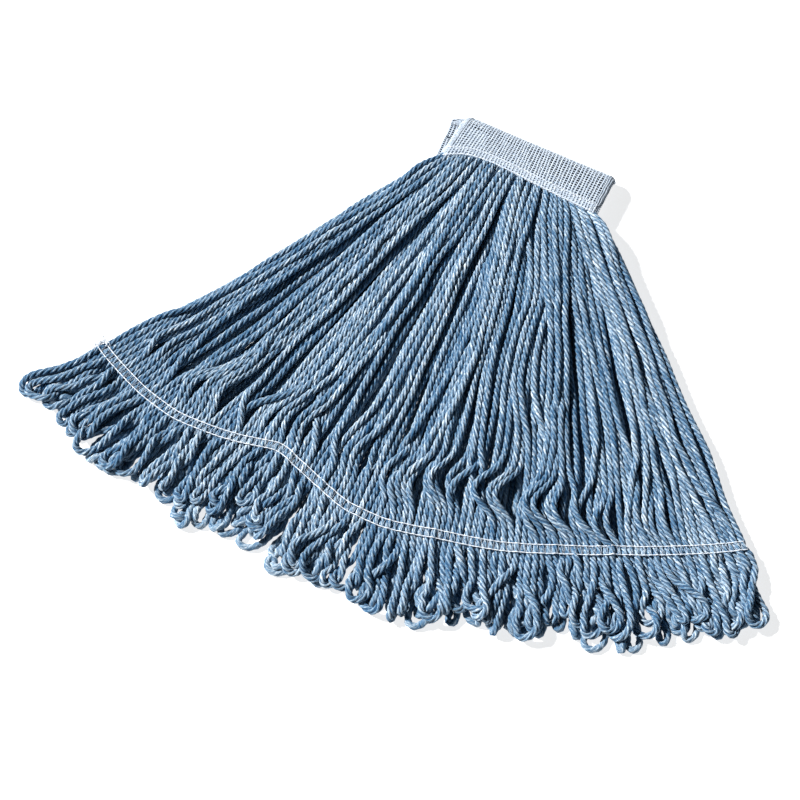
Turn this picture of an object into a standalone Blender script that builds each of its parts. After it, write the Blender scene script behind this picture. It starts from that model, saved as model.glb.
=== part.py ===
"""String mop head: looped-end yarn in two halves, folded in two at a mesh headband, lying flat.

Blender 4.5, metres, +Z up. +Y points to the headband's fold and +X runs along the headband.
The yarn is modelled as plain closed bundles that hold its real outline and thickness.
"""

from math import asin, cos, pi, radians, sin

import bmesh
import bpy
from mathutils import Vector

COLLECTION = "string_mop"

# headband: a flat stack of tape, yarn and tape, folded over at its top
HEADBAND_WIDTH = 0.160
HEADBAND_HEIGHT = 0.048
HALF_THICKNESS = 0.012
TAPE_FACE = 0.0112
TAPE_THICKNESS = 0.0012
HEM_WIDTH = 0.008
GROOVE_WIDTH = 0.0018
GROOVE_DEPTH = 0.0002
FOLD_START = 0.0347
FOLD_TIP = 0.0477
LINING_THICKNESS = 0.0009
TUNNEL_START = 0.029
TUNNEL_END = 0.041
TUNNEL_HALF_HEIGHT = 0.0037
STITCH_RADIUS = 0.0003

# yarn: strands spread from the headband as a fan, are held by the tail band, and end in loops
STRAND_LENGTH = 0.350
LOOP_LENGTH = 0.085
FAN_ANGLE = radians(41)
BUNDLES = 8
BUNDLE_RINGS = (0.001, 0.012, 0.025, 0.045, 0.085, 0.140, 0.200, 0.260, 0.310)
FRONT_TOP_AT_HEADBAND = 0.0238
FRONT_CREST = 0.034
CREST_AT = 0.045
BAND_WAVE = (0.002, 0.008, -0.009, -0.006, 0.000, -0.004, -0.004, -0.007, -0.003)

# tail band: stitched rows across the strands of each half
BAND_WIDTH = 0.008
BAND_YARN = 0.007
THREAD_RADIUS = 0.00035
THREAD_GAP = 0.0002
BAND_POINTS = 33
CROSS_POINTS = 97
HINGE_LINE = 0.034

# loose loops beyond the tail band, three clumps to a group
GROUPS = ("left", "centre", "right")
CLUMPS_PER_GROUP = 3
CLUMP_GAP = 0.004
EDGE_FLARE = 0.022
CLUMP_STATIONS = (0.0, 0.25, 0.5, 0.7, 0.85, 0.95, 1.0)

GAP = 0.0003
BAND_GAP = 0.0006
DEPTH = HEADBAND_HEIGHT + STRAND_LENGTH + LOOP_LENGTH
EDGE_Y = DEPTH / 2 - HEADBAND_HEIGHT
MIDDLE_Z = HALF_THICKNESS
LAYER = BAND_YARN + 4 * THREAD_RADIUS + 2 * THREAD_GAP

# outline of a bundle's section: across from -1 to 1, and up from the face it lies on
BUNDLE_SECTION = (
    (-1.0, 0.0),
    (-1.0, 0.60),
    (-0.92, 0.86),
    (-0.70, 1.0),
    (0.0, 1.0),
    (0.70, 1.0),
    (0.92, 0.86),
    (1.0, 0.60),
    (1.0, 0.0),
)


def clear_scene():
    for obj in list(bpy.data.objects):
        bpy.data.objects.remove(obj, do_unlink=True)


def make_material(name, colour, roughness):
    material = bpy.data.materials.new(name)
    material.use_nodes = True
    shader = material.node_tree.nodes["Principled BSDF"]
    shader.inputs["Base Color"].default_value = (*colour, 1.0)
    shader.inputs["Roughness"].default_value = roughness
    shader.inputs["Metallic"].default_value = 0.0
    material.diffuse_color = (*colour, 1.0)
    return material


def yarn_material(name):
    return make_material(name + "_yarn", (0.16, 0.30, 0.48), 0.95)


def tape_material(name):
    return make_material(name + "_mesh", (0.66, 0.74, 0.84), 0.80)


def thread_material(name):
    return make_material(name + "_thread", (0.78, 0.83, 0.90), 0.60)


def add_object(name, data, material, parent):
    obj = bpy.data.objects.new(name, data)
    collection.objects.link(obj)
    data.materials.append(material)
    obj.parent = parent
    obj.matrix_parent_inverse = parent.matrix_world.inverted()
    return obj


def add_mesh(name, bm, material, parent):
    bmesh.ops.recalc_face_normals(bm, faces=bm.faces)
    mesh = bpy.data.meshes.new(name)
    bm.to_mesh(mesh)
    bm.free()
    return add_object(name, mesh, material, parent)


def add_empty(name, location, angle, parent=None):
    """An empty on a joint's axis. Its X axis runs along the hinge line."""
    empty = bpy.data.objects.new(name, None)
    collection.objects.link(empty)
    empty.empty_display_size = 0.03
    empty.location = location
    empty.rotation_euler = (0.0, 0.0, angle)
    bpy.context.view_layer.update()
    if parent is not None:
        world = empty.matrix_world.copy()
        empty.parent = parent
        empty.matrix_world = world
        bpy.context.view_layer.update()
    return empty


def loft(name, rings, material, parent):
    """A closed body through rings of equally many points."""
    bm = bmesh.new()
    rows = [[bm.verts.new(point) for point in ring] for ring in rings]
    count = len(rows[0])
    for near, far in zip(rows, rows[1:]):
        for i in range(count):
            j = (i + 1) % count
            bm.faces.new((near[i], near[j], far[j], far[i]))
    bm.faces.new(rows[0])
    bm.faces.new(rows[-1])
    return add_mesh(name, bm, material, parent)


def extrude_profile(name, profile, side, half_width, material, parent):
    """A bar along X. The profile is (up from the lower edge, out from the middle plane)."""
    bm = bmesh.new()
    corners = [
        bm.verts.new((-half_width, EDGE_Y + up, MIDDLE_Z + side * out)) for up, out in profile
    ]
    face = bm.faces.new(corners)
    grown = bmesh.ops.extrude_face_region(bm, geom=[face])
    moved = [item for item in grown["geom"] if isinstance(item, bmesh.types.BMVert)]
    bmesh.ops.translate(bm, verts=moved, vec=(2 * half_width, 0.0, 0.0))
    return add_mesh(name, bm, material, parent)


def thread(name, points, radius, material, parent):
    """A thread as a round tube along a line of points."""
    curve = bpy.data.curves.new(name, "CURVE")
    curve.dimensions = "3D"
    curve.bevel_depth = radius
    curve.bevel_resolution = 1
    curve.use_fill_caps = True
    spline = curve.splines.new("POLY")
    spline.points.add(len(points) - 1)
    for target, point in zip(spline.points, points):
        target.co = (*point, 1.0)
    return add_object(name, curve, material, parent)


def spread(first, last, count):
    return [first + (last - first) * i / (count - 1) for i in range(count)]


def fan(across, reach):
    """The point this far across the fan (-1 to 1), at this reach from the headband's lower edge."""
    angle = FAN_ANGLE * across
    x = HEADBAND_WIDTH / 2 * across + reach * sin(angle)
    return x, EDGE_Y - reach * cos(angle)


def band_reach(across):
    """How far out the tail band lies: the strand length and the band's slight wave."""
    at = (across + 1) / 2 * (len(BAND_WAVE) - 1)
    low = min(int(at), len(BAND_WAVE) - 2)
    share = at - low
    share = share * share * (3 - 2 * share)
    return STRAND_LENGTH + BAND_WAVE[low] * (1 - share) + BAND_WAVE[low + 1] * share


def between_halves(reach):
    """Height of the plane between the two halves, which falls slightly from headband to band."""
    share = min(reach / STRAND_LENGTH, 1.0)
    return MIDDLE_Z + (LAYER + GAP / 2 - MIDDLE_Z) * share


def front_top(reach):
    """Height of the front half's yarn: it swells below the headband and thins towards the band."""
    if reach < CREST_AT:
        share = sin(pi / 2 * reach / CREST_AT)
        return FRONT_TOP_AT_HEADBAND + (FRONT_CREST - FRONT_TOP_AT_HEADBAND) * share
    share = min((reach - CREST_AT) / (STRAND_LENGTH - CREST_AT), 1.0)
    return FRONT_CREST + (2 * LAYER + GAP - FRONT_CREST) * share


def quarter(semi_up, semi_out, outward):
    """Points round the fold from its flat face to its tip, or from the tip back to the face."""
    low = asin(GAP / 2 / semi_out)
    turns = spread(pi / 2, low, 7) if outward else spread(low, pi / 2, 7)
    return [(FOLD_START + semi_up * cos(turn), semi_out * sin(turn)) for turn in turns]


def tape_profile():
    reach = FOLD_TIP - FOLD_START
    inner_face = TAPE_FACE - TAPE_THICKNESS
    groove_end = HEM_WIDTH + GROOVE_WIDTH
    outside = [
        (0.0, HALF_THICKNESS),
        (HEM_WIDTH, HALF_THICKNESS),
        (HEM_WIDTH, TAPE_FACE - GROOVE_DEPTH),
        (groove_end, TAPE_FACE - GROOVE_DEPTH),
        (groove_end, TAPE_FACE),
    ]
    outside += quarter(reach, TAPE_FACE, True)
    inside = quarter(reach - TAPE_THICKNESS, inner_face, False)
    return outside + inside + [(0.0, inner_face)]


def core_profile():
    shell = TAPE_THICKNESS + GAP
    lining = GAP / 2 + LINING_THICKNESS + GAP
    roof = TUNNEL_HALF_HEIGHT + LINING_THICKNESS + GAP
    fold = quarter(FOLD_TIP - FOLD_START - shell, TAPE_FACE - shell, True)
    return [(0.0005, TAPE_FACE - shell)] + fold + [
        (TUNNEL_END + 0.003, GAP / 2),
        (TUNNEL_END + 0.0014, roof),
        (TUNNEL_START - 0.0006, roof),
        (TUNNEL_START - 0.005, lining),
        (0.0005, lining),
    ]


def lining_profile():
    roof = TUNNEL_HALF_HEIGHT + LINING_THICKNESS
    return [
        (0.0, GAP / 2),
        (TUNNEL_START - 0.0045, GAP / 2),
        (TUNNEL_START, TUNNEL_HALF_HEIGHT),
        (TUNNEL_END, TUNNEL_HALF_HEIGHT),
        (TUNNEL_END + 0.0014, GAP / 2),
        (TUNNEL_END + 0.0024, GAP / 2),
        (TUNNEL_END + 0.0009, roof),
        (TUNNEL_START - 0.0004, roof),
        (TUNNEL_START - 0.0049, GAP / 2 + LINING_THICKNESS),
        (0.0, GAP / 2 + LINING_THICKNESS),
    ]


def build_headband_half(half, side, parent):
    width = HEADBAND_WIDTH / 2
    name = "headband_tape_" + half
    extrude_profile(name, tape_profile(), side, width, tape_material(name), parent)
    name = "headband_yarn_" + half
    extrude_profile(name, core_profile(), side, width - GAP, yarn_material(name), parent)
    name = "headband_lining_" + half
    extrude_profile(name, lining_profile(), side, width, tape_material(name), parent)
    name = "headband_stitch_" + half
    height = MIDDLE_Z + side * (HALF_THICKNESS - STITCH_RADIUS)
    up = EDGE_Y + HEM_WIDTH + 3 * STITCH_RADIUS
    line = [Vector((x, up, height)) for x in spread(0.002 - width, width - 0.002, 9)]
    thread(name, line, STITCH_RADIUS, thread_material(name), parent)


def bundle_ring(low, high, reach, bottom, top):
    """The section of one bundle, whose round side is at top. With no reach it ends at the band."""
    ring = []
    for aside, up in BUNDLE_SECTION:
        across = low + (high - low) * (aside + 1) / 2
        x, y = fan(across, reach or band_reach(across) - BAND_GAP)
        ring.append(Vector((x, y, bottom + (top - bottom) * up)))
    return ring


def build_tails(half, parent):
    for i in range(BUNDLES):
        left = -1 + 2 * i / BUNDLES
        right = left + 2 / BUNDLES
        rings = []
        for reach in (*BUNDLE_RINGS, 0.0):
            along = reach or STRAND_LENGTH
            half_gap = GAP / 2 / (HEADBAND_WIDTH / 2 + along * FAN_ANGLE)
            plane = between_halves(along)
            if half == "front":
                bottom, top = plane + GAP / 2, front_top(along)
            else:
                bottom, top = plane - GAP / 2, 0.0
            rings.append(bundle_ring(left + half_gap, right - half_gap, reach, bottom, top))
        name = f"tails_{half}_{i + 1}"
        loft(name, rings, yarn_material(name), parent)


def layer_floor(half):
    return 0.0 if half == "back" else LAYER + GAP


def chord(group):
    """The straight line that a group of loops hinges on: its two ends."""
    low = -1 + 2 * group / len(GROUPS)
    high = low + 2 / len(GROUPS)
    reach = STRAND_LENGTH + HINGE_LINE
    return Vector(fan(low, reach)), Vector(fan(high, reach))


def chord_point(across):
    """Where the line through this point of the fan meets the hinge lines."""
    group = min(int((across + 1) / 2 * len(GROUPS)), len(GROUPS) - 1)
    first, last = chord(group)
    low = -1 + 2 * group / len(GROUPS)
    return first.lerp(last, (across - low) * len(GROUPS) / 2)


def band_line(offset, height, count):
    """A line across the strands, this far out from the tail band's first row."""
    line = []
    for across in spread(-0.995, 0.995, count):
        x, y = fan(across, band_reach(across) + offset)
        line.append(Vector((x, y, height)))
    return line


def build_band(half, parent):
    floor = layer_floor(half)
    bottom = floor + 2 * THREAD_RADIUS + THREAD_GAP
    top = bottom + BAND_YARN
    rings = []
    for across in spread(-1, 1, BAND_POINTS + 4):
        near = Vector(fan(across, band_reach(across) + BAND_GAP))
        far = chord_point(across)
        far -= (far - near).normalized() * GAP
        rings.append(
            [
                Vector((*near, bottom)),
                Vector((*near, top)),
                Vector((*far, top)),
                Vector((*far, bottom)),
            ]
        )
    name = "band_yarn_" + half
    loft(name, rings, yarn_material(name), parent)

    outer_face = "top" if half == "front" else "bottom"
    heights = {"bottom": floor + THREAD_RADIUS, "top": floor + LAYER - THREAD_RADIUS}
    for face, height in heights.items():
        for row, offset in (("near", 0.001), ("far", 0.001 + BAND_WIDTH)):
            name = f"band_thread_{half}_{face}_{row}"
            line = band_line(offset, height, BAND_POINTS)
            thread(name, line, THREAD_RADIUS, thread_material(name), parent)
    name = "band_cross_thread_" + half
    near = band_line(0.0022, heights[outer_face], CROSS_POINTS)
    far = band_line(BAND_WIDTH - 0.0002, heights[outer_face], CROSS_POINTS)
    line = [(far if i % 2 else near)[i] for i in range(CROSS_POINTS)]
    thread(name, line, THREAD_RADIUS * 0.8, thread_material(name), parent)


def build_thread_tuft(parent):
    """The threads' loose ends, past the left end of the front band's rows."""
    height = LAYER * 2 + GAP - THREAD_RADIUS
    line = []
    for step in range(9):
        share = step / 8
        x, y = fan(-1.0, STRAND_LENGTH + 0.006 + 0.004 * sin(5 * share))
        line.append(Vector((x - 0.001 - 0.014 * share, y + 0.004 * share, height - 0.004 * share)))
    name = "band_thread_tuft"
    thread(name, line, THREAD_RADIUS, thread_material(name), parent)


def clump_length(along, first, last):
    """From the hinge line to the loops' ends, on a line square to the hinge line."""
    spread_radius = HEADBAND_WIDTH / 2 / FAN_ANGLE
    start = first.lerp(last, along)
    outward = Vector((last.y - first.y, first.x - last.x)).normalized()
    centre = Vector((0.0, EDGE_Y + spread_radius))
    radius = spread_radius + STRAND_LENGTH + LOOP_LENGTH
    past = (start - centre).dot(outward)
    aside = (start - centre - outward * past).length
    return (radius * radius - aside * aside) ** 0.5 - past


def build_loops(half, group, parent):
    first, last = chord(group)
    across = (last - first).normalized()
    outward = Vector((across.y, -across.x))
    if outward.y > 0:
        outward = -outward
    width = (last - first).length / CLUMPS_PER_GROUP
    floor = layer_floor(half)
    for i in range(CLUMPS_PER_GROUP):
        middle = first + across * width * (i + 0.5)
        length = clump_length((i + 0.5) / CLUMPS_PER_GROUP, first, last)
        on_edge = group * CLUMPS_PER_GROUP + i in (0, len(GROUPS) * CLUMPS_PER_GROUP - 1)
        rings = []
        for share in CLUMP_STATIONS:
            narrow = (1 - max(share - 0.5, 0.0) ** 2 * 3.2) ** 0.5
            half_width = (width / 2 - CLUMP_GAP / 2) * narrow
            thick = LAYER * (1 - 0.25 * share * share)
            ring = []
            for aside, up in BUNDLE_SECTION:
                free_edge = across.x * aside * middle.x > 0 and on_edge
                reach_aside = half_width + (EDGE_FLARE * share * narrow if free_edge else 0.0)
                spot = middle + across * aside * reach_aside
                spot = spot + outward * (GAP + (length - GAP) * share)
                height = floor + thick * (up if half == "front" else 1 - up)
                ring.append(Vector((*spot, height)))
            rings.append(ring)
        name = f"loops_{half}_{group * CLUMPS_PER_GROUP + i + 1}"
        loft(name, rings, yarn_material(name), parent)


def build_half(half, headband, side):
    """The headband half, tails and loops that move together on one side of the fold."""
    build_headband_half(half, side, headband)
    face = MIDDLE_Z + side * HALF_THICKNESS
    tails = add_empty(f"{half}_tails", (0.0, EDGE_Y, face), 0.0, headband)
    build_tails(half, tails)
    build_band(half, tails)
    outer = 2 * LAYER + GAP if half == "front" else 0.0
    for group, label in enumerate(GROUPS):
        first, last = chord(group)
        middle = (first + last) / 2
        angle = Vector((1.0, 0.0)).angle_signed(last - first)
        pivot = add_empty(f"{half}_loops_{label}", (*middle, outer), -angle, tails)
        build_loops(half, group, pivot)
    return tails


clear_scene()
collection = bpy.data.collections.new(COLLECTION)
bpy.context.scene.collection.children.link(collection)
back = add_empty("back_headband", (0.0, EDGE_Y, 0.0), 0.0)
front = add_empty("front_headband", (0.0, EDGE_Y + HEADBAND_HEIGHT, MIDDLE_Z), 0.0, back)
build_half("back", back, -1)
front_tails = build_half("front", front, 1)
build_thread_tuft(front_tails)
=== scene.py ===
from math import cos, pi, radians, sin

import bpy
import numpy as np
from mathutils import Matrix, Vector


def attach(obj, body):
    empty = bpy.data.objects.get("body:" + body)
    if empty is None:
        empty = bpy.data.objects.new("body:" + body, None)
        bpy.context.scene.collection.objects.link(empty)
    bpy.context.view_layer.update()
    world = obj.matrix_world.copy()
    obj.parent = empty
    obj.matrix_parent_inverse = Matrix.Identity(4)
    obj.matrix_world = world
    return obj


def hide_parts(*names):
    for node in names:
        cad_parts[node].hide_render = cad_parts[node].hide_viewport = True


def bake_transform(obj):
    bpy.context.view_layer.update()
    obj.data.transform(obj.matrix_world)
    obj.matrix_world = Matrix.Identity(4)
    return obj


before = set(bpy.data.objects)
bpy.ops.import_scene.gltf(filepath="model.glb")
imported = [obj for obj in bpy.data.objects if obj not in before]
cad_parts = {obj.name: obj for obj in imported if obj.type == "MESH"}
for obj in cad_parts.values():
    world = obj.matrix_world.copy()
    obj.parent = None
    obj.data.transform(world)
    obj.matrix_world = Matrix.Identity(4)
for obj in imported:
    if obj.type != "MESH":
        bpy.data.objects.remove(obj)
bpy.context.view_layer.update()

# each seed gives the same mop every time
SEED = {"looks": 29, "front": 11, "back": 23, "loops": 77, "tuft": 5}
RNG = np.random.default_rng(SEED["looks"])

# sizes shared with the CAD model, in metres
HEADBAND_WIDTH = 0.160
HEADBAND_HEIGHT = 0.048
MIDDLE_Z = 0.012
TAPE_FACE = 0.0112
FOLD_START = 0.0347
FOLD_TIP = 0.0477
STRAND_LENGTH = 0.350
LOOP_LENGTH = 0.085
FAN_ANGLE = radians(41)
BAND_WIDTH = 0.008
LAYER = 0.0088
EDGE_Y = (HEADBAND_HEIGHT + STRAND_LENGTH + LOOP_LENGTH) / 2 - HEADBAND_HEIGHT
GROUPS = ("left", "centre", "right")
CLUMPS_IN_GROUP = 3
BUNDLES = 8

# the two halves, and which way each one's outer face points
HALVES = ("front", "back")
OUTWARD = {"front": 1.0, "back": -1.0}

# the fan: where each strand and each loop stands across it, from -1 to 1
STRANDS = 112
STRAND_PLACE = -1 + (2 * np.arange(STRANDS) + 1) / STRANDS
LOOP_PLACE = (STRAND_PLACE[0::2] + STRAND_PLACE[1::2]) / 2
LOOPS = len(LOOP_PLACE)
HALF_WIDTH = HEADBAND_WIDTH / 2
FAN_TURN = radians(2.8)

# yarn, made of plies that wind round each other
YARN_R = 0.0031
LOOP_R = 0.0035
TWIST_PITCH = 0.028
PLIES = 4
PLY_SIZE = 0.445

# the mesh tape: its length from hem to fold, where the fold's piece starts, and its open mesh
TAPE_REACH = FOLD_START + 0.0190
TAPE_SPLIT = FOLD_START + 0.0015
FOLD_LAP = 0.0004
RIB_PITCH = 0.0032
RIB_AT = 0.0008
ROW_PITCH = 0.0026
ROW_AT = 0.0006
ALONG_X = np.array([1.0, 0.0, 0.0])


# ---------------------------------------------------------------- camera and stage


def add_camera():
    azimuth, elevation, distance = radians(22.4), radians(71), 2.045
    aim = Vector((-0.0221, -0.0439, 0.0107))
    away = Vector(
        (sin(azimuth) * cos(elevation), -cos(azimuth) * cos(elevation), sin(elevation))
    )
    data = bpy.data.cameras.new("camera")
    data.lens = 100.0
    data.sensor_width = 36.0
    camera = bpy.data.objects.new("camera", data)
    camera.location = aim + away * distance
    camera.rotation_euler = (-away).to_track_quat("-Z", "Y").to_euler()
    bpy.context.scene.collection.objects.link(camera)
    bpy.context.scene.camera = camera


def add_lights():
    world = bpy.data.worlds.new("studio")
    world.use_nodes = True
    world.node_tree.nodes["Background"].inputs["Color"].default_value = (0.62, 0.82, 1.0, 1.0)
    world.node_tree.nodes["Background"].inputs["Strength"].default_value = 0.07
    bpy.context.scene.world = world
    sun = bpy.data.lights.new("key", "SUN")
    sun.energy = 7.3
    sun.angle = radians(6)
    key = bpy.data.objects.new("key", sun)
    toward = Vector((-0.92, 0.0, 0.86)).normalized()
    key.rotation_euler = toward.to_track_quat("Z", "Y").to_euler()
    bpy.context.scene.collection.objects.link(key)


def add_floor():
    mesh = bpy.data.meshes.new("floor")
    size = 60  # metres from its middle, so that its edges stay out of view
    corners = [(-size, -size, 0), (size, -size, 0), (size, size, 0), (-size, size, 0)]
    mesh.from_pydata(corners, [], [(0, 1, 2, 3)])
    floor = bpy.data.objects.new("floor", mesh)
    bpy.context.scene.collection.objects.link(floor)
    material = bpy.data.materials.new("floor")
    material.use_nodes = True
    shader = material.node_tree.nodes["Principled BSDF"]
    shader.inputs["Base Color"].default_value = (0.55, 0.55, 0.55, 1.0)
    shader.inputs["Roughness"].default_value = 0.9
    shader.inputs["Emission Color"].default_value = (1.0, 1.0, 1.0, 1.0)
    shader.inputs["Emission Strength"].default_value = 0.78
    mesh.materials.append(material)


add_camera()
add_lights()
add_floor()
bpy.context.scene.view_settings.view_transform = "Standard"


# ---------------------------------------------------------------- materials


class Nodes:
    """A short way to add and join shader nodes."""

    def __init__(self, name):
        self.material = bpy.data.materials.new(name)
        self.material.use_nodes = True
        self.tree = self.material.node_tree
        self.shader = self.tree.nodes["Principled BSDF"]

    def add(self, kind, inputs=(), **settings):
        node = self.tree.nodes.new(kind)
        for key, value in settings.items():
            setattr(node, key, value)
        for key, value in dict(inputs).items():
            if isinstance(value, bpy.types.NodeSocket):
                self.tree.links.new(value, node.inputs[key])
            else:
                node.inputs[key].default_value = value
        return node

    def attribute(self, name):
        return self.add("ShaderNodeAttribute", attribute_name=name)

    def maths(self, operation, a, b=0.0):
        return self.add("ShaderNodeMath", {0: a, 1: b}, operation=operation).outputs[0]

    def ramp(self, value, stops):
        node = self.add("ShaderNodeValToRGB", {"Fac": value})
        elements = node.color_ramp.elements
        while len(elements) < len(stops):
            elements.new(0.5)
        for element, (at, colour) in zip(elements, stops):
            element.position = at
            element.color = (*colour, 1.0)
        return node.outputs["Color"]

    def link(self, socket, name):
        self.tree.links.new(socket, self.shader.inputs[name])


YARN_COLOURS = (
    (0.31, (0.010, 0.075, 0.175)),
    (0.46, (0.105, 0.210, 0.325)),
    (0.60, (0.37, 0.48, 0.58)),
    (0.75, (0.90, 0.96, 0.98)),
)
# colour of the painted shade in the yarn's grooves and on its underside
PAINTED_SHADE_COLOUR = (0.008, 0.03, 0.08, 1.0)
# noise cells to a metre: the first two numbers are across the yarn and the last is along it
FIBRE_GRAIN = (1500, 1500, 330)
PATCH_GRAIN = (260, 260, 22)


def yarn_material(name, level=1.0):
    """Heathered blue yarn, with painted shade in the grooves between its plies and on its underside. The
    level scales its colours.
    """
    n = Nodes(name)
    fibre = n.attribute("fibre").outputs["Vector"]
    # the painted shade of the grooves and the underside, as a mask
    painted_shade = n.attribute("painted_shade").outputs["Fac"]
    strand = n.attribute("strand").outputs["Fac"]
    shift = n.add("ShaderNodeCombineXYZ", {"Z": n.maths("MULTIPLY", strand, 7.3)})
    moved = n.add("ShaderNodeVectorMath", {0: fibre, 1: shift.outputs[0]}, operation="ADD")
    fine = n.add(
        "ShaderNodeVectorMath", {0: moved.outputs[0], 1: FIBRE_GRAIN}, operation="MULTIPLY"
    )
    heather = n.add("ShaderNodeTexNoise", {"Vector": fine.outputs[0], "Scale": 1.0, "Detail": 3.0})
    slow = n.add(
        "ShaderNodeVectorMath", {0: moved.outputs[0], 1: PATCH_GRAIN}, operation="MULTIPLY"
    )
    patch = n.add("ShaderNodeTexNoise", {"Vector": slow.outputs[0], "Scale": 1.0, "Detail": 1.0})
    value = n.maths("ADD", heather.outputs["Fac"], n.maths("MULTIPLY", patch.outputs["Fac"], 0.35))
    value = n.maths("ADD", value, n.maths("MULTIPLY", strand, 0.10))
    value = n.maths("SUBTRACT", value, 0.225)
    stops = [(at, tuple(part * level for part in colour)) for at, colour in YARN_COLOURS]
    colour = n.ramp(value, stops)
    # painted shade: the colour is mixed towards a dark navy in the grooves and on the underside
    dark = n.maths("MULTIPLY", n.maths("POWER", painted_shade, 1.6), 0.97)
    mixed = n.add(
        "ShaderNodeMix",
        {"Factor": dark, 6: colour, 7: PAINTED_SHADE_COLOUR},
        data_type="RGBA",
    )
    n.link(mixed.outputs[2], "Base Color")
    n.shader.inputs["Roughness"].default_value = 0.92
    n.shader.inputs["Specular IOR Level"].default_value = 0.25
    n.shader.inputs["Sheen Weight"].default_value = 0.10
    n.shader.inputs["Sheen Roughness"].default_value = 0.45
    n.shader.inputs["Sheen Tint"].default_value = (0.80, 0.90, 1.0, 1.0)
    bump = n.add(
        "ShaderNodeBump", {"Height": heather.outputs["Fac"], "Strength": 0.5, "Distance": 0.0008}
    )
    n.link(bump.outputs[0], "Normal")
    return n.material


def thread_material(name, light, dark, scale):
    """Thread or tape with a fine grain between these two colours."""
    n = Nodes(name)
    place = n.add("ShaderNodeTexCoord").outputs["Object"]
    noise = n.add("ShaderNodeTexNoise", {"Vector": place, "Scale": scale, "Detail": 2.0})
    n.link(n.ramp(noise.outputs["Fac"], ((0.30, dark), (0.68, light))), "Base Color")
    n.shader.inputs["Roughness"].default_value = 0.75
    n.shader.inputs["Sheen Weight"].default_value = 0.15
    bump = n.add(
        "ShaderNodeBump", {"Height": noise.outputs["Fac"], "Strength": 0.4, "Distance": 0.0003}
    )
    n.link(bump.outputs[0], "Normal")
    return n.material


YARN = yarn_material("yarn")
# painted shade: the yarn inside the headband is the same yarn with its colours cut to 6%, for the shade
# under the net
YARN_IN_PAINTED_SHADE = yarn_material("headband_yarn_in_painted_shade", 0.06)
TAPE = thread_material("mesh_tape", (0.56, 0.62, 0.69), (0.33, 0.40, 0.49), 420.0)
THREAD = thread_material("sewing_thread", (0.86, 0.89, 0.93), (0.60, 0.66, 0.74), 900.0)


# ---------------------------------------------------------------- mesh helpers


def smooth(value):
    """0 to 1 as the value goes from 0 to 1, with a level start and end."""
    value = np.clip(value, 0.0, 1.0)
    return value * value * (3 - 2 * value)


def softened(values, width):
    """Each value averaged with its neighbours, over this many of them."""
    kernel = np.hanning(width)
    return np.convolve(np.pad(values, width // 2, "edge"), kernel / kernel.sum(), "valid")


def at_height(plan, height):
    """Points in plan, each at its own height."""
    return np.concatenate([plan, height[:, None]], 1)


def distances(points):
    """How far along a path each of its points lies."""
    return np.concatenate([[0], np.cumsum(np.linalg.norm(np.diff(points, axis=0), axis=1))])


def path_length(points):
    return float(np.linalg.norm(np.diff(points, axis=0), axis=1).sum())


def even(points, count):
    """The path as this many evenly spaced points."""
    along = distances(points)
    at = np.linspace(0, along[-1], count)
    return np.stack([np.interp(at, along, points[:, k]) for k in range(3)], 1)


def resample(points, step):
    """The same path with points this far apart, on a smooth curve."""
    points = np.asarray(points, float)
    along = distances(points)
    slopes = np.gradient(points, along, axis=0)
    at = np.linspace(0, along[-1], max(3, int(round(along[-1] / step)) + 1))
    i = np.clip(np.searchsorted(along, at, "right") - 1, 0, len(along) - 2)
    span = (along[i + 1] - along[i])[:, None]
    x = ((at - along[i]) / span[:, 0])[:, None]
    return (
        points[i] * (2 * x**3 - 3 * x**2 + 1)
        + slopes[i] * span * (x**3 - 2 * x**2 + x)
        + points[i + 1] * (3 * x**2 - 2 * x**3)
        + slopes[i + 1] * span * (x**3 - x**2)
    )


def rings(path, radius, sides, lobes=0, depth=0.0, pitch=1.0, phase=0.0, flat=1.0, aside=None):
    """Vertices round a path, with fibre places and painted shade. With lobes it is a twisted yarn, whose
    plies wind to the left, with painted shade in its grooves and on its underside.
    """
    tangent = np.gradient(path, axis=0)
    tangent /= np.linalg.norm(tangent, axis=1)[:, None]
    side = np.cross(tangent, (0.0, 0.0, 1.0)) if aside is None else np.tile(aside, (len(path), 1))
    side /= np.maximum(np.linalg.norm(side, axis=1), 1e-6)[:, None]
    up = np.cross(tangent, side)
    along = distances(path)
    own = np.arange(sides) * 2 * pi / sides
    turn = own[None, :] - (2 * pi * along / pitch + phase)[:, None] if lobes else own[None, :]
    turn = np.broadcast_to(turn, (len(path), sides))
    shape = np.ones(sides)
    painted_shade = np.zeros(sides)
    if lobes:
        # each ply is a circle of this depth, so the outline has round tops and sharp grooves
        off = (own + pi / lobes) % (2 * pi / lobes) - pi / lobes
        shape = (1 - depth) * np.cos(off) + np.sqrt(depth**2 - ((1 - depth) * np.sin(off)) ** 2)
        # painted shade, darkest in the groove between two plies
        painted_shade = (np.abs(off) / (pi / lobes)) ** 1.5
    radius = np.broadcast_to(np.asarray(radius, float), (len(path),))
    reach = radius[:, None] * shape[None, :]
    ring = (
        path[:, None, :]
        + side[:, None, :] * (reach * np.cos(turn))[..., None]
        + up[:, None, :] * (reach * np.sin(turn))[..., None] * flat
    )
    fibre = np.empty((len(path), sides, 3))
    fibre[..., 0] = radius[:, None] * np.cos(own)[None, :]
    fibre[..., 1] = radius[:, None] * np.sin(own)[None, :]
    fibre[..., 2] = along[:, None]
    # painted shade on the yarn's underside, which the light doesn't reach
    under = 0.75 * smooth((np.sin(turn) + 0.10) / 0.9)
    shade = np.maximum(painted_shade[None, :], under if lobes else 0.0)
    return ring, fibre, np.broadcast_to(shade, (len(path), sides))


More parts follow.
